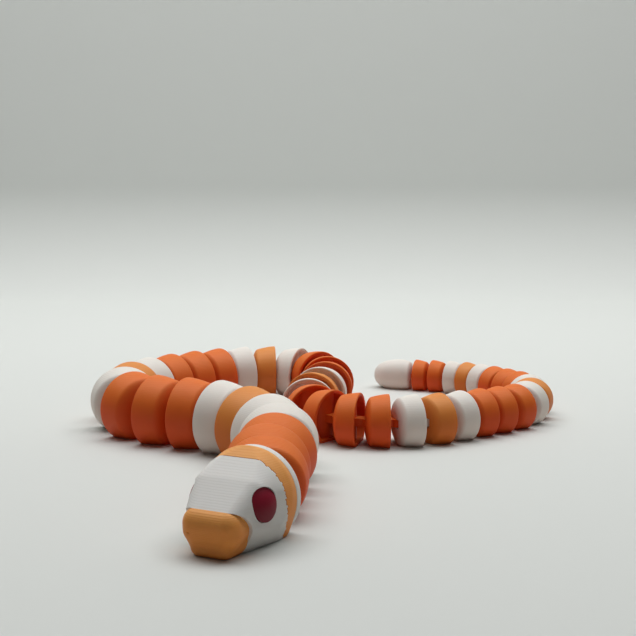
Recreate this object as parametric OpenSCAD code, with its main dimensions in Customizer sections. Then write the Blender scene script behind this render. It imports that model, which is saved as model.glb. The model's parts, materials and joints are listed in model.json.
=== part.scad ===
// Articulated snake, printed in place: a head, a chain of cupped links and a tail tip.
// Every link carries a flat tongue that ends in an eye, and the eye turns on a
// vertical pin inside the nose of the next link.
// Millimetres, +Z up, standing on z = 0, origin under the middle of the coiled snake.

/* [Body] */
// Number of links between the head and the tail tip
link_count = 46; // [12:1:46]
// Rim radius where the body leaves the head
neck_r = 7.6; // [7:0.1:8.4]
// Rim radius of the fullest link, whose sizes are the ones given below
belly_r = 8.2; // [7.8:0.1:9.4]
// Rim radius at the tail tip
tail_r = 4.4; // [4.2:0.1:6]
// Which link is the fullest
fullest_link = 7; // [3:1:10]

/* [Link] */
// Distance from a link's own pin to the next pin
link_pitch = 8.6; // [8.4:0.1:9.6]
// Height of the body's middle line above the surface it stands on
middle_h = 6.55; // [6.2:0.05:7]
// How far the rim stops short of the next pin
rim_set = 3.1; // [2.8:0.1:3.4]
// Wall of the cup at the rim
rim_wall = 1; // [0.8:0.05:1.2]
// Depth of the cup that the next nose swings in
cup_depth = 3.3; // [3:0.1:3.6]
// Width of the bevel round the bottom of the cup
cup_bevel = 1.1; // [0.6:0.1:1.4]
// Wall left between the cup and the flat underside
floor_wall = 0.9; // [0.6:0.05:1.1]
// Width of the bevel round the rim
rim_bevel = 0.35; // [0.2:0.05:0.5]
// How far the flared side swells beyond a straight cone
flare_swell = 0.2; // [0:0.05:0.3]

/* [Nose] */
// How far the nose reaches ahead of its pin
nose_reach = 2.05; // [1.8:0.05:2.2]
// Radius of the nose's front face before it is rounded
nose_r = 6.5; // [6.3:0.1:6.8]
// Rounding of the nose's front edge
nose_round = 2.1; // [1.6:0.1:2.2]
// Number of straight steps in that rounding
nose_steps = 3; // [2:1:5]

/* [Hinge] */
// Swing of each joint to either side of straight, in degrees
swing = 32; // [31:1:34]
// Radius of the pin
pin_r = 1.2; // [1:0.05:1.4]
// Outer radius of the tongue's eye
eye_r = 2.75; // [2.5:0.05:2.9]
// Radius of the post round the pin's pocket
post_r = 4.4; // [4.1:0.05:4.6]
// Width of the tongue
tongue_w = 3.4; // [2.8:0.1:3.6]
// Thickness of the tongue
tongue_t = 2.2; // [1.8:0.1:2.6]
// Gap round the eye, the pin and the tongue, the same in every link
joint_gap = 0.3; // [0.2:0.05:0.4]
// Gap between a nose and the cup at full swing, the same in every link
swing_gap = 0.3; // [0.2:0.05:0.4]

/* [Head] */
// Radius of the white collar
collar_r = 8; // [7.8:0.1:8.4]
// Length of the white collar
collar_l = 1.2; // [0.8:0.1:1.6]
// How far the gold band lies below the collar
band_step = 0.25; // [0.1:0.05:0.5]
// Distance of the brow from the neck pin
brow_at = 8.8; // [8.2:0.1:9.2]
// Height of the brow
brow_h = 13.3; // [12.8:0.1:13.6]
// Half width of the head at the brow
brow_w = 7.2; // [6.8:0.1:7.5]
// Half width of the brow's flat top
brow_flat = 3.3; // [2:0.1:4]
// Lean of the seam between the gold band and the white face, in degrees
seam_lean = 10; // [0:1:14]
// Where that seam meets the underside, measured from the neck pin
seam_at = 6.7; // [6.5:0.1:7.2]
// Half width of the cheeks at the eyes
cheek_w = 5.9; // [5.4:0.1:6.3]
// Rounding of the cheeks
cheek_round = 3; // [2.4:0.1:3.4]
// How far the cheeks are widest below the eyes
cheek_drop = 1; // [0.5:0.1:1.5]
// Half width of the jaw below the eyes
jaw_w = 4.8; // [4.2:0.1:5.4]
// Rounding of the jaw
jaw_round = 2.2; // [1.6:0.1:2.6]
// Distance of the eyes from the neck pin
eye_at = 13.4; // [12.8:0.1:13.8]
// Height of the eyes
eye_h = 7.7; // [7.2:0.1:8.2]
// Radius of the eyes
iris_r = 2.6; // [2.2:0.05:2.8]
// How far the eyes stand out of the cheeks
eye_proud = 0.8; // [0.4:0.1:1]
// How far the eyes look ahead of straight sideways, in degrees
eye_ahead = 18; // [10:1:26]
// How far the eyes look up, in degrees
eye_up = 10; // [0:1:16]
// How deep the eyes are set into the cheeks
eye_seat = 1.4; // [1:0.1:1.8]
// Distance of the snout's tip from the neck pin
snout_at = 20.3; // [19.6:0.1:21.2]
// Height of the snout
snout_h = 7.5; // [7:0.1:8]
// Half width of the snout
snout_w = 5.1; // [4.8:0.1:5.4]
// Rounding of the snout
snout_round = 2.6; // [2.2:0.1:2.9]
// Half width of the chin
chin_w = 4; // [3.4:0.1:4.6]
// How far the chin lies behind the snout's tip
chin_back = 0.5; // [0.2:0.1:1.2]
// How far the snout stands proud of the face
snout_proud = 0.2; // [0.1:0.05:0.3]
// Radius of the curved seam between the face and the snout
snout_seam_r = 5; // [4.6:0.1:5.4]
// Height of that seam's centre
snout_seam_h = 2.6; // [2.2:0.1:3]

/* [Tail] */
// Length of the tail tip behind its pin
tip_l = 10.6; // [9:0.1:13]
// Where the tail tip is widest, behind its pin
tip_wide = 3.4; // [3:0.1:4.2]
// Radius at the blunt end of the tail tip
tip_r = 1.7; // [1:0.1:2.2]
// Rounding of the blunt end
tip_round = 1; // [0.5:0.1:1]
// How far the tail tip droops towards the ground, in degrees
tip_droop = 16; // [0:1:20]

/* [Hidden] */
$fn = 64;

// Colours from the first link to the tail tip: o orange, w white, g gold
stripes = str("ooow", "wgwooo", "wgwooo", "wgwooo", "wgwoooo", "wgwooo", "wgwooo", "wgwoo", "w");
orange = "#d9652b";
white = "#e6e2d8";
gold = "#d28a3c";
dark_red = "#5c1218";

// Turn of each joint as the snake lies in its double curve, in degrees, from the neck to
// the tail, with left turns positive
bends = [
    30, -10, -5, 15, 20, 15, 15, 10,
    -5, -20, -30, -25, -15, -10, -5, -5, -15, -20, -30, -30, -30, -15, -5, 0,
    15, 20, 30, 25, 15, 15, 15, 5, 0, 0, 10, 15, 15, 20, 15, 10, 0, 5, 10, 15, 5, 5, 0
];
// Direction from the head to the neck as the snake lies
head_heading = 65;

// Rim radius of link i, where 0 is the neck end of the head and the last is the tail tip
last = link_count + 1;
function rim_r(i) = i < fullest_link
    ? neck_r + (belly_r - neck_r) * i / fullest_link
    : belly_r + (tail_r - belly_r) * (i - fullest_link) / (last - fullest_link);
// Size of link i beside the fullest one
function size(i) = rim_r(i) / belly_r;
// Direction of link i, and the place of the pin behind it
function heading(i) = i == 0 ? head_heading : heading(i - 1) + bends[i - 1];
function pin_at(i) = i == 0
    ? [0, 0]
    : pin_at(i - 1) + link_pitch * size(i) * [cos(heading(i)), sin(heading(i))];
headings = [for (i = [0 : last]) heading(i)];
pins = [for (i = [0 : link_count]) pin_at(i)];

// Arc of the tail tip's side, from where it is widest to its blunt end
tip_run = tip_l - tip_wide;
tip_fall = tail_r - tip_r;
tip_sweep_r = (tip_run * tip_run + tip_fall * tip_fall) / (2 * tip_fall);

// How far the snout reaches in front of the neck pin
snout_reach = snout_round
    + (snout_at - snout_round) * sin(head_heading)
    + (snout_w - snout_round) * abs(cos(head_heading));
// How far the tail tip reaches behind its pin
tip_along = cos(tip_droop) * sin(headings[last]);
tip_reach = tip_wide * sin(headings[last])
    + (tail_r - tip_sweep_r) * abs(cos(headings[last]))
    + tip_sweep_r * norm([tip_along, cos(headings[last])]);

// The middle of the ground that the snake covers, from its widest rims, its snout and its tail
rim_centres = [for (i = [1 : link_count])
    pins[i] - (rim_set + rim_bevel) * size(i) * [cos(headings[i]), sin(headings[i])]];
rim_spans = [for (i = [1 : link_count]) rim_r(i) * [abs(sin(headings[i])), abs(cos(headings[i]))]];
rim_lows = rim_centres - rim_spans;
rim_highs = rim_centres + rim_spans;
low = [
    min([for (spot = rim_lows) spot[0]]),
    min(-snout_reach, min([for (spot = rim_lows) spot[1]]))
];
high = [
    max([for (spot = rim_highs) spot[0]]),
    max(pins[link_count][1] + tip_reach, max([for (spot = rim_highs) spot[1]]))
];
middle = (low + high) / 2;

far = 100;
cup_r = belly_r - rim_wall;
// Thickness of the slices that the head is drawn round
slice = 0.4;
// The neck end of the head
neck = size(0);
neck_rim = rim_set * neck;
neck_cup = cup_depth * neck;

// Where the nose of link i is widest while it still clears the cup ahead at full swing
function shoulder(i) =
    let (
        set = rim_set * size(i - 1) - swing_gap,
        mouth = cup_r * size(i - 1) - swing_gap
    )
    [mouth * sin(swing) - set * cos(swing), mouth * cos(swing) + set * sin(swing)];

// Moves a piece that is drawn with its own pin at the origin to its place in the chain
module placed(i) {
    translate(concat(pins[i - 1] - middle, 0))
        rotate(headings[i])
            children();
}

// Turns a flat outline of radius against length about the body's middle line
module turned(height) {
    translate([0, 0, height])
        rotate([0, 90, 0])
            rotate_extrude()
                children();
}

// Everything above the surface that the snake stands on
module above(height = 0) {
    translate([-far, -far, height])
        cube([2 * far, 2 * far, far]);
}

// Outline of a nose up to its shoulder, and on through the given points to the middle line
module nose_outline(i, behind) {
    s = size(i);
    polygon(concat(
        [[0, -nose_reach * s]],
        [for (step = [0 : nose_steps])
            let (turn = 90 * step / nose_steps)
            s * [
                nose_r - nose_round * (1 - sin(turn)),
                -nose_reach + nose_round * (1 - cos(turn))
            ]],
        [[shoulder(i)[1], shoulder(i)[0]]],
        behind
    ));
}

// Outline of link i, with its side flared from the shoulder to the rim
module link_outline(i) {
    rim = (link_pitch - rim_set) * size(i);
    bevel = rim_bevel * size(i);
    half_way = (shoulder(i) + [rim, rim_r(i)]) / 2;
    nose_outline(i, [
        [half_way[1] + flare_swell * size(i), half_way[0]],
        [rim_r(i), rim - bevel],
        [rim_r(i) - bevel, rim],
        [0, rim]
    ]);
}

// Lifts the underside of a nose clear of the cup that it swings in
module nose_lift(i) {
    lift = floor_wall * size(i - 1) + swing_gap;
    start = shoulder(i)[0] + swing_gap;
    translate([0, far / 2, 0])
        rotate([90, 0, 0])
            linear_extrude(far)
                polygon([
                    [-far, -1],
                    [start + lift, -1],
                    [start + lift, 0],
                    [start, lift],
                    [-far, lift]
                ]);
}

// Room for the eye and the tongue of the piece ahead, through their whole swing
module pocket(i) {
    s = size(i);
    slot = tongue_w * s + 2 * joint_gap;
    reach = 2 * nose_reach * s;
    translate([0, 0, middle_h * s - tongue_t * s / 2 - joint_gap])
        linear_extrude(tongue_t * s + 2 * joint_gap) {
            circle(eye_r * s + joint_gap);
            polygon([
                [0, 0],
                reach * [-cos(swing), -sin(swing)],
                [-reach, 0],
                reach * [-cos(swing), sin(swing)]
            ]);
            for (side = [-1, 1])
                rotate(side * swing)
                    translate([-reach, -slot / 2])
                        square([reach, slot]);
        }
}

// Vertical pin that bridges the pocket
module pin(i) {
    s = size(i);
    translate([0, 0, middle_h * s - tongue_t * s / 2 - 2 * joint_gap])
        cylinder(r = pin_r * s, h = tongue_t * s + 4 * joint_gap);
}

// Tongue and eye that hang on the pin of piece i, drawn with that pin at the origin
module tongue(i, root) {
    s = size(i);
    translate([0, 0, middle_h * s - tongue_t * s / 2])
        linear_extrude(tongue_t * s)
            difference() {
                union() {
                    circle(eye_r * s);
                    translate([-root, -tongue_w * s / 2])
                        square([root, tongue_w * s]);
                }
                circle(pin_r * s + joint_gap);
            }
}

// Cup that the nose of the next piece swings in
module cup(i, depth) {
    s = size(i);
    intersection() {
        turned(middle_h * s)
            polygon([
                [0, 0],
                [(cup_r - cup_bevel) * s, 0],
                [cup_r * s, cup_bevel * s],
                [cup_r * s, depth],
                [0, depth]
            ]);
        above(floor_wall * s);
    }
}

module link(i) {
    s = size(i);
    rim = (link_pitch - rim_set) * s;
    difference() {
        intersection() {
            turned(middle_h * s)
                link_outline(i);
            above();
        }
        // The cup goes round the post that holds the pin
        difference() {
            translate([rim - cup_depth * s, 0, 0])
                cup(i, 2 * cup_depth * s);
            cylinder(r = post_r * s, h = far);
        }
        nose_lift(i);
        pocket(i);
    }
    pin(i);
    translate([link_pitch * s, 0, 0])
        tongue(i + 1, link_pitch * s - post_r * s + rim_wall * s);
}

module body_link(i) {
    stripe = stripes[i - 1];
    color(stripe == "o" ? orange : stripe == "g" ? gold : white)
        placed(i)
            link(i);
}

// Side of the tail tip round its widest place, with an arc behind it that meets the blunt end
module tip_outline() {
    intersection() {
        circle(tail_r);
        translate([0, -tail_r])
            square([tail_r, tail_r + tip_round]);
    }
    intersection() {
        translate([tail_r - tip_sweep_r, 0])
            circle(tip_sweep_r, $fn = 96);
        square([tail_r, tip_run - tip_round]);
    }
    square([tip_r - tip_round, tip_run]);
    intersection() {
        translate([tip_r - tip_round, tip_run - tip_round])
            circle(tip_round);
        square(tip_run);
    }
}

// Tail tip: the nose of a link, a ball where it is widest, and an end that droops from it
module tail_tip() {
    s = size(last);
    color(white)
        placed(last) {
            difference() {
                intersection() {
                    union() {
                        turned(middle_h * s)
                            nose_outline(last, [[tail_r - rim_bevel, tip_wide], [0, tip_wide]]);
                        translate([tip_wide, 0, middle_h * s])
                            rotate([0, tip_droop, 0])
                                turned(0)
                                    tip_outline();
                    }
                    above();
                }
                nose_lift(last);
                pocket(last);
            }
            pin(last);
        }
}

// Places a piece of the head, drawn with the neck pin at the origin and the snout at -X
module head_placed() {
    translate(concat(-middle, 0))
        rotate(head_heading)
            children();
}

// A ball on each side of the head
module pair(ahead, width, height, round) {
    for (side = [-1, 1])
        translate([-ahead, side * (width - round), height])
            sphere(round, $fn = 32);
}

// Snout and chin, made smaller all round by the given amount
module snout_form(less) {
    pair(snout_at - snout_round, snout_w - less, snout_h - snout_round, snout_round - less);
    pair(snout_at - chin_back - snout_round, chin_w - less, snout_round, snout_round - less);
}

// Outer form of the head from the collar to the snout
module head_form() {
    intersection() {
        hull() {
            translate([-neck_rim - collar_l - slice, 0, middle_h * neck])
                rotate([0, 90, 0])
                    cylinder(r = collar_r - band_step, h = slice);
            intersection() {
                translate([-brow_at, 0, middle_h * neck])
                    rotate([0, 90, 0])
                        cylinder(r = norm([brow_flat, brow_h - middle_h * neck]), h = slice);
                translate([-far, -brow_w, -far])
                    cube([2 * far, 2 * brow_w, far + brow_h]);
            }
            pair(eye_at, cheek_w, eye_h - cheek_drop, cheek_round);
            pair(eye_at, jaw_w, jaw_round, jaw_round);
            snout_form(snout_proud);
        }
        above();
    }
}

// Ahead of the leaning seam between the gold band and the face
module ahead_of_seam() {
    translate([-seam_at, 0, 0])
        rotate([0, -seam_lean, 0])
            translate([-far, -far, -far])
                cube([far, 2 * far, 2 * far]);
}

// Round of the seam between the face and the snout
module snout_seam() {
    translate([-snout_at + snout_proud, far / 2, snout_seam_h])
        rotate([90, 0, 0])
            cylinder(r = snout_seam_r, h = far);
}

// Eye on one side of the head, with its stem in the cheek
module eyeball(side) {
    dome_r = (iris_r * iris_r + eye_proud * eye_proud) / (2 * eye_proud);
    translate([-eye_at, side * (cheek_w - eye_proud / 4), eye_h])
        rotate([-side * (90 - eye_up), 0, side * eye_ahead])
            intersection() {
                translate([0, 0, -eye_seat])
                    cylinder(r = iris_r, h = 2 * eye_seat);
                translate([0, 0, eye_proud - dome_r])
                    sphere(dome_r, $fn = 96);
            }
}

module collar() {
    color(white)
        head_placed()
            difference() {
                intersection() {
                    translate([-neck_rim - collar_l, 0, middle_h * neck])
                        rotate([0, 90, 0])
                            cylinder(r = collar_r, h = collar_l);
                    above();
                }
                translate([-neck_rim - 3 * collar_l, 0, 0])
                    cup(0, 4 * collar_l);
            }
}

module head_band() {
    color(gold)
        head_placed() {
            difference() {
                head_form();
                ahead_of_seam();
                translate([-neck_rim - neck_cup, 0, 0])
                    cup(0, neck_cup);
            }
            tongue(1, neck_rim + neck_cup + rim_wall * neck);
        }
}

module face() {
    color(white)
        head_placed()
            difference() {
                intersection() {
                    head_form();
                    ahead_of_seam();
                }
                snout_seam();
                for (side = [-1, 1])
                    eyeball(side);
            }
}

module snout() {
    color(gold)
        head_placed()
            intersection() {
                hull() {
                    snout_form(0);
                    pair(eye_at, snout_w, snout_h - snout_round, snout_round);
                    pair(eye_at, chin_w, snout_round, snout_round);
                }
                snout_seam();
                above();
            }
}

module eye_left() {
    color(dark_red)
        head_placed()
            eyeball(-1);
}

module eye_right() {
    color(dark_red)
        head_placed()
            eyeball(1);
}

collar();
head_band();
face();
snout();
eye_left();
eye_right();
for (i = [1 : link_count])
    body_link(i);
tail_tip();
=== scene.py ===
"""Looks of a jointed snake printed in one go from orange, white, gold and dark red plastic."""
import bpy
import json
import math
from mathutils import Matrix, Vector

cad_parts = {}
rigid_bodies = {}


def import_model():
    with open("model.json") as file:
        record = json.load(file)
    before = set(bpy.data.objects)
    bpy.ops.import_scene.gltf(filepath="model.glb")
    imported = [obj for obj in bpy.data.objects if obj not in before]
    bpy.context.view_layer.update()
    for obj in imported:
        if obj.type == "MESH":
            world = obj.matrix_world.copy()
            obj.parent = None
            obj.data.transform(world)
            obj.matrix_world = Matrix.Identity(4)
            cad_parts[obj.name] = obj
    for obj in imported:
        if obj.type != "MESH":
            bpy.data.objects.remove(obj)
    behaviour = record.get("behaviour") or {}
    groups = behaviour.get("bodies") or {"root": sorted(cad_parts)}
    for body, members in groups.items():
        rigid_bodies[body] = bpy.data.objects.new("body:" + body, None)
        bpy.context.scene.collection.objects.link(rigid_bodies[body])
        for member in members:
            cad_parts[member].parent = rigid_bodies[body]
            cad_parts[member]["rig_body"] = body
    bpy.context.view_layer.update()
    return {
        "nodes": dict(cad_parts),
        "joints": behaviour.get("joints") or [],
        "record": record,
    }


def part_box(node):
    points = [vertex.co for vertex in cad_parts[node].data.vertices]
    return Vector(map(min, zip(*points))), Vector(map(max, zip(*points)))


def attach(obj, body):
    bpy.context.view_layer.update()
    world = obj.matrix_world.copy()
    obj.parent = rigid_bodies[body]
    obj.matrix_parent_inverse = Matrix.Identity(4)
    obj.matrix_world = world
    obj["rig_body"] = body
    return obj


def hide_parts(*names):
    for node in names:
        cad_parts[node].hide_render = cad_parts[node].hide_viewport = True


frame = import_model()
PINS = {joint["child"]: Vector(joint["pos_m"]) for joint in frame["joints"]}
SLOTS = {entry["node"]: entry["material_slot"] for entry in frame["record"]["subparts"]}
HEAD_PIN = [joint["pos_m"] for joint in frame["joints"] if joint["parent"] == "head"][0]

MM = 0.001

# Height of a printed layer in mm, how far its step and its ridge stand out, and the grain of the plastic
LAYER = 0.3
STEP, RIDGE, GRAIN = 0.16, 0.03, 0.012


class Wire:
    """One shader socket, so that shader maths reads as plain sums."""

    def __init__(self, kitchen, socket):
        self.kitchen = kitchen
        self.socket = socket

    def maths(self, operation, *values):
        return self.kitchen.node("ShaderNodeMath", {"operation": operation}, list(values))

    def __add__(self, other):
        return self.maths("ADD", self, other)

    __radd__ = __add__

    def __sub__(self, other):
        return self.maths("SUBTRACT", self, other)

    def __rsub__(self, other):
        return self.maths("SUBTRACT", other, self)

    def __mul__(self, other):
        return self.maths("MULTIPLY", self, other)

    __rmul__ = __mul__

    def __truediv__(self, other):
        return self.maths("DIVIDE", self, other)

    def __abs__(self):
        return self.maths("ABSOLUTE", self)

    def part(self):
        return self.maths("FRACT", self)

    def power(self, exponent):
        return self.maths("POWER", self, exponent)

    def least(self, other):
        return self.maths("MINIMUM", self, other)

    def most(self, other):
        return self.maths("MAXIMUM", self, other)

    def between(self, low, high):
        """0 below low, 1 above high and smooth from one to the other."""
        inputs = {0: self, 1: low, 2: high, 3: 0.0, 4: 1.0}
        return self.kitchen.node("ShaderNodeMapRange", {"interpolation_type": "SMOOTHSTEP"}, inputs)


class Kitchen:
    """A material and the nodes that it is mixed from."""

    def __init__(self, name):
        self.material = bpy.data.materials.new(name)
        self.material.use_nodes = True
        self.tree = self.material.node_tree
        self.shader = self.tree.nodes["Principled BSDF"]

    def fill(self, made, pairs):
        for key, value in pairs:
            if isinstance(value, Wire):
                self.tree.links.new(value.socket, made.inputs[key])
            else:
                made.inputs[key].default_value = value

    def node(self, kind, settings=None, inputs=None, out=0):
        made = self.tree.nodes.new(kind)
        for key, value in (settings or {}).items():
            setattr(made, key, value)
        self.fill(made, inputs.items() if isinstance(inputs, dict) else enumerate(inputs or []))
        return Wire(self, made.outputs[out])

    def axis(self, vector, letter):
        return self.node("ShaderNodeSeparateXYZ", inputs=[vector], out="XYZ".index(letter))

    def blotches(self, where, scale, detail=3.0):
        inputs = {"Vector": where, "Scale": scale, "Detail": detail, "Roughness": 0.55}
        return self.node("ShaderNodeTexNoise", inputs=inputs)

    def mix(self, share, first, second):
        """A colour between two others."""
        return self.node("ShaderNodeMix", {"data_type": "RGBA"}, {0: share, 6: first, 7: second}, 2)

    def set(self, name, value):
        self.fill(self.shader, [(name, value)])


def printed_plastic(name, colour, painted_shade_colour, rough=0.55, glow=0.1, lines=0.35):
    """Plastic laid in flat layers: steps on slopes and fine ridges on walls, with painted shade on the sides
    that turn away from the top and in the grooves between layers.
    """
    k = Kitchen(name)
    place = k.node("ShaderNodeTexCoord", out=3)
    wander = k.blotches(place, 90.0)
    ripple = k.blotches(place, 420.0, 2.0)
    height = k.axis(place, "Z") / MM
    upright = k.axis(k.node("ShaderNodeNewGeometry", out=1), "Z")
    flat = abs(upright)
    phase = (height / LAYER + (wander - 0.5) * 0.12 + (ripple - 0.5) * flat.power(8.0) * 2.0).part()
    tread = (phase / 0.3).least((1.0 - phase) / 0.7)
    ridge = 1.0 - abs(phase * 2.0 - 1.0).power(3.0)
    steps = tread * flat * LAYER * STEP * lines + ridge * (1.0 - flat * flat) * RIDGE * lines
    relief = steps + k.blotches(place, 2500.0, 2.0) * GRAIN
    k.set("Normal", k.node("ShaderNodeBump", {}, {"Strength": 1.0, "Distance": MM, "Height": relief}))
    # Painted shade in the grooves between layers; lines sets how strong it is.
    groove = abs(phase * 2.0 - 1.0).between(0.72, 1.0)
    # Painted shade: the colour turns to the painted shade colour as the surface turns from facing up to
    # facing sideways or down.
    side = 1.0 - upright.between(-0.15, 0.85)
    # Share of the painted shade colour: painted side shade, a random tone of the plastic, and painted groove
    # shade that is strongest on flat tops.
    shade = side * 0.85 + (wander - 0.5) * 0.2 + groove * (flat.power(4.0) * 0.4 + 0.1) * lines
    k.set("Base Color", k.mix(shade.most(0.0), colour, painted_shade_colour))
    k.set("Roughness", rough + (wander - 0.5) * 0.12)
    k.set("Specular IOR Level", 0.25)
    k.set("Subsurface Weight", glow)
    k.set("Subsurface Radius", (colour[0], colour[1] * 0.6 + 0.05, colour[2] * 0.5 + 0.03))
    k.set("Subsurface Scale", 1.2 * MM)
    return k.material


# Each plastic: its colour where it faces up and the painted shade colour its sides turn to, then roughness,
# subsurface weight and line strength where given.
ORANGE = printed_plastic("orange_plastic", (0.78, 0.17, 0.019, 1), (0.72, 0.07, 0.010, 1))
WHITE = printed_plastic("white_plastic", (0.82, 0.78, 0.72, 1), (0.80, 0.69, 0.62, 1))
GOLD = printed_plastic("gold_plastic", (0.78, 0.285, 0.06, 1), (0.70, 0.155, 0.02, 1), 0.5)
RED = printed_plastic("red_plastic", (0.30, 0.013, 0.035, 1), (0.17, 0.006, 0.015, 1), 0.38, 0.05, 0.15)
HEAD_WHITE = printed_plastic("white_head_plastic", (0.78, 0.765, 0.735, 1), (0.66, 0.62, 0.585, 1))
HEAD_GOLD = printed_plastic(
    "gold_head_plastic", (0.86, 0.38, 0.10, 1), (0.81, 0.265, 0.048, 1), 0.5, 0.1, 0.6)
PLASTICS = {"orange_pla": ORANGE, "white_pla": WHITE, "gold_pla": GOLD, "red_pla": RED}
HEAD_PLASTICS = {"white_pla": HEAD_WHITE, "gold_pla": HEAD_GOLD, "red_pla": RED}

for solid, slot in SLOTS.items():
    node = frame["nodes"][solid]
    node.data.materials.clear()
    node.data.materials.append(PLASTICS[slot])


def let_go():
    """Back to object mode with nothing selected."""
    if bpy.context.mode != "OBJECT":
        bpy.ops.object.mode_set(mode="OBJECT")
    bpy.ops.object.select_all(action="DESELECT")


def take(piece):
    let_go()
    piece.select_set(True)
    bpy.context.view_layer.objects.active = piece


def open_up(piece):
    """Into edit mode with the whole mesh selected."""
    take(piece)
    bpy.ops.object.mode_set(mode="EDIT")
    bpy.ops.mesh.select_all(action="SELECT")


def close_up():
    """Turns all faces outwards and leaves edit mode."""
    bpy.ops.mesh.select_all(action="SELECT")
    bpy.ops.mesh.normals_make_consistent(inside=False)
    bpy.ops.object.mode_set(mode="OBJECT")


def settle(piece):
    """Puts the piece's place and turn into its mesh."""
    take(piece)
    bpy.ops.object.transform_apply(location=True, rotation=True, scale=True)


def turn_by(piece, angles):
    piece.rotation_euler = angles
    settle(piece)


def added(name=None):
    """The primitive just added, with its place in its mesh."""
    piece = bpy.context.object
    piece.name = name or piece.name
    settle(piece)
    return piece


def turned(name, rings, height, sides=96):
    """A round bar along +X, drawn out ring by ring: each ring is its place and its radius in mm."""
    let_go()
    at, radius = rings[0]
    bpy.ops.mesh.primitive_circle_add(
        vertices=sides, radius=radius * MM, fill_type="NGON",
        location=(at * MM, 0, height * MM), rotation=(0, math.radians(90), 0))
    piece = added(name)
    open_up(piece)
    bpy.ops.mesh.select_mode(type="FACE")
    bpy.ops.mesh.select_all(action="SELECT")
    for place, wide in rings[1:]:
        bpy.ops.mesh.extrude_region_move(TRANSFORM_OT_translate={"value": ((place - at) * MM, 0, 0)})
        growth = wide / radius
        bpy.ops.transform.resize(value=(1, growth, growth), center_override=(place * MM, 0, height * MM))
        at, radius = place, wide
    close_up()
    return piece


def trim(piece, point, normal):
    """Cuts off what lies on the far side of a plane and closes the cut."""
    open_up(piece)
    bpy.ops.mesh.bisect(
        plane_co=[c * MM for c in point], plane_no=normal, use_fill=True, clear_inner=True, threshold=1e-8)
    bpy.ops.object.mode_set(mode="OBJECT")


def trim_floor(piece, height=0.0):
    trim(piece, (0, 0, height), (0, 0, 1))


def finish_with(piece, kind, **settings):
    """Adds a modifier and works it into the mesh."""
    take(piece)
    made = piece.modifiers.new(kind.lower(), kind)
    for key, value in settings.items():
        setattr(made, key, value)
    bpy.ops.object.modifier_apply(modifier=made.name)


def fuse(piece, tool, operation="UNION"):
    """Adds a tool to the piece, cuts it out or keeps what both share, and throws the tool away."""
    finish_with(piece, "BOOLEAN", operation=operation, solver="EXACT", object=tool)
    bpy.data.objects.remove(tool)


def block(low, high, turn=0.0):
    """A block between two corners in mm, turned about the pin."""
    let_go()
    middle = [(a + b) / 2 * MM for a, b in zip(low, high)]
    bpy.ops.mesh.primitive_cube_add(size=1.0, location=middle)
    tool = bpy.context.object
    tool.scale = [(b - a) * MM for a, b in zip(low, high)]
    settle(tool)
    turn_by(tool, (0, 0, math.radians(turn)))
    return tool


def drum(radius, low, high, at=0.0, sides=64):
    """An upright drum round a pin at a place along X."""
    let_go()
    bpy.ops.mesh.primitive_cylinder_add(
        vertices=sides, radius=radius * MM, depth=(high - low) * MM,
        location=(at * MM, 0, (high + low) / 2 * MM))
    return added()


def drum_across(radius, x, z, half, sides=128):
    """A drum that lies across the head."""
    let_go()
    bpy.ops.mesh.primitive_cylinder_add(
        vertices=sides, radius=radius * MM, depth=2 * half * MM,
        location=(x * MM, 0, z * MM), rotation=(math.radians(90), 0, 0))
    return added()


def ball(radius, x, y, z):
    let_go()
    bpy.ops.mesh.primitive_uv_sphere_add(
        segments=48, ring_count=24, radius=radius * MM, location=(x * MM, y * MM, z * MM))
    return added()


def copy_of(piece, name):
    made = piece.copy()
    made.data = piece.data.copy()
    made.name = name
    bpy.context.scene.collection.objects.link(made)
    return made


def dressed(piece, node, plastics=PLASTICS):
    """Stands a finished piece in for its CAD node."""
    slot = SLOTS[node]
    piece.name = node + "_print"
    take(piece)
    bpy.ops.object.shade_smooth_by_angle(angle=math.radians(32))
    piece.data.materials.clear()
    piece.data.materials.append(plastics[slot])
    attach(piece, frame["nodes"][node]["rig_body"])
    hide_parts(node)


def centre_of(node):
    low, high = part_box(node)
    return (Vector(low) + Vector(high)) / 2


def heading(start, end):
    return math.atan2(end[1] - start[1], end[0] - start[0])


# The fullest link in mm, drawn with its own pin at the origin and the tail towards +X:
# height of its middle, radius and place of its rim, and place of the next pin
MIDDLE, RIM, RIM_AT, NEXT_PIN = 6.55, 8.2, 5.5, 8.6
# The cup behind: its radius, depth, bevel and the floor under it
CUP, CUP_DEEP, CUP_BEVEL, FLOOR = 7.2, 3.3, 1.1, 0.9
# The nose: depth of its dome, place and radius of its shoulder, and the rounding of the rim's lip
DOME, SHOULDER_AT, SHOULDER, LIP = 2.25, 0.35, 7.35, 0.3
# The hinge: radius of the eye, of the pin and of the post round it, and the gap left when printing
EYE, PIN, POST, GAP = 2.75, 1.2, 4.4, 0.3
TONGUE_WIDE, TONGUE_THICK = 3.4, 2.2
SLOT_REACH, SLOT_TURNS = 4.2, (-32, -16, 0, 16, 32)
# The tail tip: its radius, where its straight stretch and its round end stop, and how blunt the end is
TAIL, TAIL_STRAIGHT, TAIL_END, TAIL_BLUNT = 4.4, 2.6, 9.9, 0.8


def nose_rings(size=1.0):
    """The nose: a low dome that meets the flank at the shoulder."""
    rings = []
    for turn in [math.radians(turn) for turn in range(26, 87, 4)]:
        rings.append((size * (SHOULDER_AT - DOME * math.cos(turn)), size * SHOULDER * math.sin(turn)))
    return rings


def flank_rings(shoulder, end, swell, count):
    """Rings from the shoulder out to the full radius at the end, each given as place and radius."""
    start, low = shoulder
    reach, full = end
    shares = [step / count for step in range(1, count + 1)]
    return [(start + (reach - start) * share, full - (full - low) * (1 - share) ** swell) for share in shares]


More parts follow.
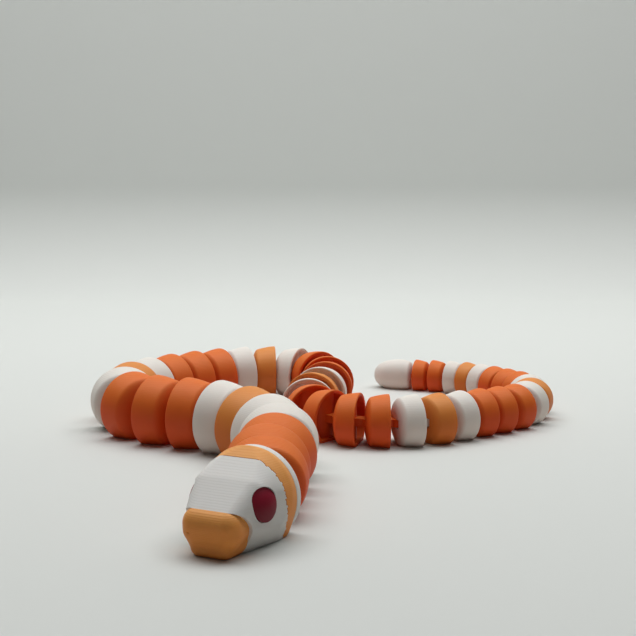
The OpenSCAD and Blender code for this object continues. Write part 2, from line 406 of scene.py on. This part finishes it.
def open_pocket(piece, size=1.0):
    """The slot that lets the tongue ahead swing, and the pin that bridges it."""
    low, high = (MIDDLE - TONGUE_THICK / 2) * size - GAP, (MIDDLE + TONGUE_THICK / 2) * size + GAP
    fuse(piece, drum(EYE * size + GAP, low, high), "DIFFERENCE")
    half = TONGUE_WIDE / 2 * size + GAP
    for turn in SLOT_TURNS:
        fuse(piece, block((-SLOT_REACH, -half, low), (0, half, high), turn), "DIFFERENCE")
    fuse(piece, drum(PIN * size, low - 0.2, high + 0.2, sides=40))


def tongue():
    """The flat bar on the post, with its round eye on the next pin."""
    low, high = MIDDLE - TONGUE_THICK / 2, MIDDLE + TONGUE_THICK / 2
    piece = drum(EYE, low, high, NEXT_PIN)
    fuse(piece, block((POST - 1, -TONGUE_WIDE / 2, low), (NEXT_PIN, TONGUE_WIDE / 2, high)))
    fuse(piece, drum(PIN + GAP, low - 1, high + 1, NEXT_PIN, 40), "DIFFERENCE")
    return piece


def master_link():
    """The fullest link: domed nose, swelling flank, rounded lip, and the cup that goes round the post."""
    rings = nose_rings()
    rings += flank_rings(rings[-1], (RIM_AT - LIP, RIM), 1.5, 8)
    for turn in (22, 45, 68, 90):
        lip = math.radians(turn)
        rings.append((RIM_AT - LIP * (1 - math.sin(lip)), RIM - LIP * (1 - math.cos(lip))))
    link = turned("link", rings, MIDDLE, 128)
    trim_floor(link)
    bottom = RIM_AT - CUP_DEEP
    cup_rings = [
        (bottom, CUP - CUP_BEVEL),
        (bottom + CUP_BEVEL / 3, CUP - CUP_BEVEL / 3),
        (bottom + CUP_BEVEL, CUP),
        (RIM_AT - LIP, CUP),
        (RIM_AT - LIP / 3, CUP + LIP / 4),
        (RIM_AT, CUP + LIP),
        (RIM_AT + 1, CUP + LIP),
    ]
    hollow = turned("hollow", cup_rings, MIDDLE, 128)
    trim_floor(hollow, FLOOR)
    fuse(hollow, drum(POST, -1, 2 * MIDDLE + 2), "DIFFERENCE")
    fuse(link, hollow, "DIFFERENCE")
    open_pocket(link)
    fuse(link, tongue())
    return link


def make_links():
    """Every link is a copy of the fullest one, at the size of its CAD node."""
    master = master_link()
    links = [name for name in PINS if name.startswith("link_")]
    for name, behind in zip(links, links[1:] + ["tail_tip"]):
        low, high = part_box(name)
        size = (high.z - low.z) / ((MIDDLE + RIM) * MM)
        piece = copy_of(master, name)
        piece.scale = (size, size, size)
        piece.location = (PINS[name].x, PINS[name].y, 0)
        turn_by(piece, (0, 0, heading(PINS[name], PINS[behind])))
        dressed(piece, name)
    bpy.data.objects.remove(master)


def make_tail():
    """White tail tip: the nose of a link, a straight stretch and a blunt round end."""
    size = TAIL / RIM
    rings = nose_rings(size)
    rings += flank_rings(rings[-1], (TAIL_STRAIGHT, TAIL), 2, 6)
    for turn in [math.radians(5 * step) for step in range(1, 18)]:
        along = TAIL_STRAIGHT + (TAIL_END - TAIL_STRAIGHT) * math.sin(turn)
        rings.append((along, TAIL * math.cos(turn) ** TAIL_BLUNT))
    tail = turned("tail", rings, MIDDLE * size)
    trim_floor(tail)
    open_pocket(tail, size)
    pin = PINS["tail_tip"]
    tail.location = (pin.x, pin.y, 0)
    turn_by(tail, (0, 0, heading(pin, centre_of("tail_tip"))))
    dressed(tail, "tail_tip")


# The head in mm, drawn with the neck pin at the origin and the snout towards -X:
# its share of the fullest link's size, the height of its axis, and the rim and depth of its cup
NECK = 7.6 / 8.2
AXIS = MIDDLE * NECK
NECK_RIM = 3.1 * NECK
NECK_CUP = 3.3 * NECK
COLLAR, COLLAR_LONG = 8.0, 1.6
COLLAR_AT = NECK_RIM + COLLAR_LONG
# Radius of the neck ring, the crown and the brow, and half the width and the height of the cut brow
RING, CROWN, BROW, BROW_HALF, BROW_TOP = 8.05, 8.1, 7.95, 7.4, 13.3
# Pairs of balls under the skin: radius, how far ahead of the pin, how far aside and how high
CHEEKS = [(3.0, 13.4, 3.2, 6.7), (2.2, 13.4, 2.4, 1.2), (3.0, 11.7, 3.7, 8.5)]
FEET = [(2.0, 7.4, 4.5, 1.2), (2.0, 5.2, 4.9, 1.3)]
MUZZLE_ROOT = [(2.4, 17.7, 2.5, 4.9)]
LIP_FORMS = [(2.5, 17.7, 2.45, 5.0), (2.6, 17.4, 2.5, 4.0), (2.6, 13.4, 2.5, 4.9)]
CHIN_FORMS = [(1.7, 17.75, 2.0, 1.35), (2.5, 13.4, 2.6, 2.2)]
THROAT_FORMS = [(2.5, 17.4, 2.5, 4.0), (1.6, 17.7, 2.0, 1.3), (2.4, 13.4, 2.5, 3.6)]
# The seam behind the face: its place at the floor, its lean, and the groove and step down to the band
SEAM_AT, SEAM_LEAN, SEAM_GAP, BAND_SUNK = 6.7, 0.176, 0.28, 0.1
# The round seam behind the snout
SNOUT_SEAM_R, SNOUT_SEAM_AT, SNOUT_SEAM_HIGH = 5.0, -20.1, 2.6
# The eye: its place, and how far out its face and its plug sit
EYE_AT, EYE_HIGH, EYE_FACE, EYE_PLUG, EYE_ROUND = -12.8, 7.4, 7.0, 6.3, 6.0


def pairs(rows, less=0.0):
    """Balls on both sides of the head, each a little smaller where less is given."""
    balls = []
    for radius, ahead, aside, up in rows:
        balls += [ball(radius - less, -ahead, way * aside, up) for way in (-1, 1)]
    return balls


def joined(pieces):
    take(pieces[0])
    for piece in pieces[1:]:
        piece.select_set(True)
    bpy.ops.object.join()
    return bpy.context.object


def wrapped(pieces):
    """One skin pulled tight over a few forms."""
    piece = joined(pieces)
    open_up(piece)
    bpy.ops.mesh.convex_hull()
    bpy.ops.mesh.normals_make_consistent(inside=False)
    bpy.ops.object.mode_set(mode="OBJECT")
    return piece


def softened(piece, grain, rounds):
    """Even, small faces all over, with the edges between the forms rubbed soft."""
    finish_with(piece, "REMESH", mode="VOXEL", voxel_size=grain * MM)
    finish_with(piece, "SMOOTH", factor=0.5, iterations=rounds)


def muzzle(less):
    """Upper lip, the chin below it a little further back, and a throat that fills the notch between them."""
    lip = wrapped(pairs(LIP_FORMS, less))
    chin = wrapped(pairs(CHIN_FORMS, less))
    throat = wrapped(pairs(THROAT_FORMS, less))
    return joined([lip, throat, chin])


def head_skin():
    """Outside of the head: neck ring, crown, brow, cheeks, feet and muzzle under one skin."""
    ring = turned("ring", [(-COLLAR_AT - 0.4, RING), (-COLLAR_AT + 0.3, RING)], AXIS)
    crown = turned("crown", [(-6.2, CROWN), (-5.8, CROWN)], AXIS + 0.5)
    brow = turned("brow", [(-9.1, BROW), (-8.7, BROW)], AXIS)
    trim(brow, (0, -BROW_HALF, 0), (0, 1, 0))
    trim(brow, (0, BROW_HALF, 0), (0, -1, 0))
    trim(brow, (0, 0, BROW_TOP), (0, 0, -1))
    forms = [ring, crown, brow] + pairs(CHEEKS) + pairs(FEET) + pairs(MUZZLE_ROOT)
    head = joined([wrapped(forms), muzzle(0.2)])
    softened(head, 0.16, 9)
    return head


def curtain(name, ahead):
    """All that lies ahead of the leaning seam, with an edge that wavers from layer to layer."""
    let_go()
    bpy.ops.mesh.primitive_plane_add(size=MM, location=(-40 * MM, -20 * MM, -2 * MM))
    piece = added(name)
    open_up(piece)
    bpy.ops.mesh.select_mode(type="VERT")
    bpy.ops.mesh.select_all(action="SELECT")
    bpy.ops.mesh.merge(type="CENTER")
    stops = []
    for step in range(-4, 52):
        height = step * LAYER
        waver = 0.12 * math.sin(step * 2.4) + 0.09 * math.sin(step * 5.3 + 1)
        place = -SEAM_AT - ahead - SEAM_LEAN * height + waver
        stops += [(place, height), (place, height + LAYER)]
    stops.append((-40.0, stops[-1][1]))
    at = (-40.0, -2.0)
    for x, z in [(stops[0][0], -2.0)] + stops:
        move = ((x - at[0]) * MM, 0, (z - at[1]) * MM)
        bpy.ops.mesh.extrude_region_move(TRANSFORM_OT_translate={"value": move})
        at = (x, z)
    bpy.ops.mesh.select_all(action="SELECT")
    bpy.ops.mesh.edge_face_add()
    bpy.ops.mesh.extrude_region_move(TRANSFORM_OT_translate={"value": (0, 40 * MM, 0)})
    close_up()
    return piece


def neck_cup():
    """The hollow that the first link's nose swings in."""
    tool = turned("neck_cup", [(-NECK_RIM - NECK_CUP, CUP * NECK), (1, CUP * NECK)], AXIS, 128)
    trim_floor(tool, FLOOR * NECK)
    return tool


def neck_tongue():
    """The tongue that holds the first link, with its root in the bottom of the cup."""
    bar = tongue()
    bar.scale = (NECK, NECK, NECK)
    bar.location = (-NEXT_PIN * NECK * MM, 0, 0)
    settle(bar)
    half = TONGUE_WIDE / 2 * NECK
    low, high = (MIDDLE - TONGUE_THICK / 2) * NECK, (MIDDLE + TONGUE_THICK / 2) * NECK
    fuse(bar, block((-NECK_RIM - NECK_CUP - 0.9, -half, low), (-NECK_RIM, half, high)))
    return bar


def make_band(skin):
    """Gold band round the neck end, with a narrow groove in front of it."""
    band = copy_of(skin, "band")
    finish_with(band, "DISPLACE", strength=-BAND_SUNK * MM, mid_level=0.0)
    trim_floor(band)
    trim(band, (-COLLAR_AT, 0, 0), (-1, 0, 0))
    fuse(band, curtain("seam", -SEAM_GAP), "DIFFERENCE")
    fuse(band, turned("core", [(-10.5, 4.63), (-7.1, 4.63)], AXIS))
    fuse(band, neck_cup(), "DIFFERENCE")
    fuse(band, neck_tongue())
    return band


def make_collar():
    """White rim at the neck end, rounded as the links' rims are."""
    rings = [
        (-COLLAR_AT, 7.4),
        (-COLLAR_AT, COLLAR - 0.12),
        (-COLLAR_AT + 0.12, COLLAR),
        (-NECK_RIM - 0.25, COLLAR),
        (-NECK_RIM - 0.08, COLLAR - 0.1),
        (-NECK_RIM, COLLAR - 0.28),
    ]
    piece = turned("collar", rings, AXIS, 160)
    trim_floor(piece)
    fuse(piece, neck_cup(), "DIFFERENCE")
    return piece


def snout_drum():
    return drum_across(SNOUT_SEAM_R, SNOUT_SEAM_AT, SNOUT_SEAM_HIGH, 12)


def make_snout():
    """Gold snout: a full lip over a chin, with one small dimple and a back that follows the round seam."""
    snout = muzzle(0.0)
    softened(snout, 0.14, 12)
    trim_floor(snout)
    fuse(snout, snout_drum(), "INTERSECT")
    fuse(snout, ball(0.35, -20.15, 3.1, 3.9), "DIFFERENCE")
    return snout


def eye_plug(side, more=0.0):
    """An egg with its point down, pushed through the cheek."""
    egg = ball(1.0, 0, 0, 0)
    egg.scale = (2.4 + more, 3.5, 2.7 + more)
    settle(egg)
    finish_with(egg, "SIMPLE_DEFORM", deform_method="TAPER", deform_axis="Z", factor=0.3)
    turn_by(egg, (math.radians(side * 16), 0, 0))
    turn_by(egg, (0, 0, math.radians(side * 14)))
    egg.location = (EYE_AT * MM, side * EYE_PLUG * MM, EYE_HIGH * MM)
    settle(egg)
    return egg


def make_eye(side):
    """An eye sunk at its front and foot and a little proud behind."""
    ahead, up = math.radians(22), math.radians(14)
    outward = (-math.sin(ahead) * math.cos(up), side * math.cos(ahead) * math.cos(up), math.sin(up))
    face = (EYE_AT, side * EYE_FACE, EYE_HIGH)
    middle = [place - EYE_ROUND * way for place, way in zip(face, outward)]
    eye = eye_plug(side)
    fuse(eye, ball(EYE_ROUND, *middle), "INTERSECT")
    return eye


def make_face(skin):
    """White face from the band to the snout, with a fine gap round each eye."""
    face = copy_of(skin, "face")
    trim_floor(face)
    fuse(face, curtain("seam", 0.0), "INTERSECT")
    fuse(face, snout_drum(), "DIFFERENCE")
    for side in (-1, 1):
        fuse(face, eye_plug(side, 0.1), "DIFFERENCE")
    return face


def make_head():
    """The six pieces that ride with the head."""
    skin = head_skin()
    facing = heading(centre_of("snout"), HEAD_PIN)
    made = {
        "collar": make_collar(),
        "head_band": make_band(skin),
        "face": make_face(skin),
        "snout": make_snout(),
        "eye_left": make_eye(-1),
        "eye_right": make_eye(1),
    }
    bpy.data.objects.remove(skin)
    for node, piece in made.items():
        piece.location = (HEAD_PIN[0], HEAD_PIN[1], 0)
        turn_by(piece, (0, 0, facing))
        dressed(piece, node, HEAD_PLASTICS)


def backdrop():
    """A pale sheet that lies flat under the snake and curves up behind it."""
    front, bend, radius, top, half = -0.32, 0.28, 0.055, 0.55, 0.9
    profile = [(front, 0.0), (bend, 0.0)]
    for turn in [math.radians(90 * step / 16) for step in range(1, 17)]:
        profile.append((bend + radius * math.sin(turn), radius * (1 - math.cos(turn))))
    profile.append((bend + radius, top))
    points = [(side * half, y, z) for y, z in profile for side in (-1, 1)]
    faces = [(2 * n, 2 * n + 1, 2 * n + 3, 2 * n + 2) for n in range(len(profile) - 1)]
    mesh = bpy.data.meshes.new("backdrop")
    mesh.from_pydata(points, [], faces)
    sheet = bpy.data.objects.new("backdrop", mesh)
    bpy.context.scene.collection.objects.link(sheet)
    for face in mesh.polygons:
        face.use_smooth = True
    k = Kitchen("pale_paper")
    k.set("Base Color", (0.68, 0.70, 0.675, 1))
    k.set("Roughness", 0.75)
    k.set("Specular IOR Level", 0.15)
    mesh.materials.append(k.material)


# The camera: the picture's side and the lens in pixels, its place from the neck pin in mm, and its dip
PICTURE, LENS, SENSOR, DIP = 636, 1050, 36.0, 7.32
SEAT_RIGHT, SEAT_BACK, SEAT_HIGH = 8.75, 170.83, 56.53


def camera():
    lens = bpy.data.cameras.new("photo_camera")
    lens.sensor_width = SENSOR
    lens.lens = SENSOR * LENS / PICTURE
    lens.clip_start = 0.01
    seat = bpy.data.objects.new("photo_camera", lens)
    seat.location = (HEAD_PIN[0] + SEAT_RIGHT * MM, HEAD_PIN[1] - SEAT_BACK * MM, SEAT_HIGH * MM)
    seat.rotation_euler = (math.radians(90 - DIP), 0, 0)
    bpy.context.scene.collection.objects.link(seat)
    bpy.context.scene.camera = seat


def softbox(name, where, aim, size, power):
    lamp = bpy.data.lights.new(name, "AREA")
    lamp.shape = "RECTANGLE"
    lamp.size, lamp.size_y = size
    lamp.energy = power
    holder = bpy.data.objects.new(name, lamp)
    holder.location = where
    holder.rotation_euler = (Vector(aim) - Vector(where)).to_track_quat("-Z", "Y").to_euler()
    bpy.context.scene.collection.objects.link(holder)


def room(colour, strength):
    """The faint light from all round."""
    world = bpy.data.worlds.new("room")
    bpy.context.scene.world = world
    world.use_nodes = True
    light = world.node_tree.nodes["Background"]
    light.inputs[0].default_value = colour
    light.inputs[1].default_value = strength


make_links()
make_tail()
make_head()
backdrop()
camera()
softbox("top_light", (0.0, 0.18, 0.55), (0, 0.17, 0), (0.9, 0.45), 4.9)
room((1.0, 1.0, 0.99, 1), 0.04)
bpy.context.scene.view_settings.view_transform = "Standard"

bpy.context.view_layer.update()
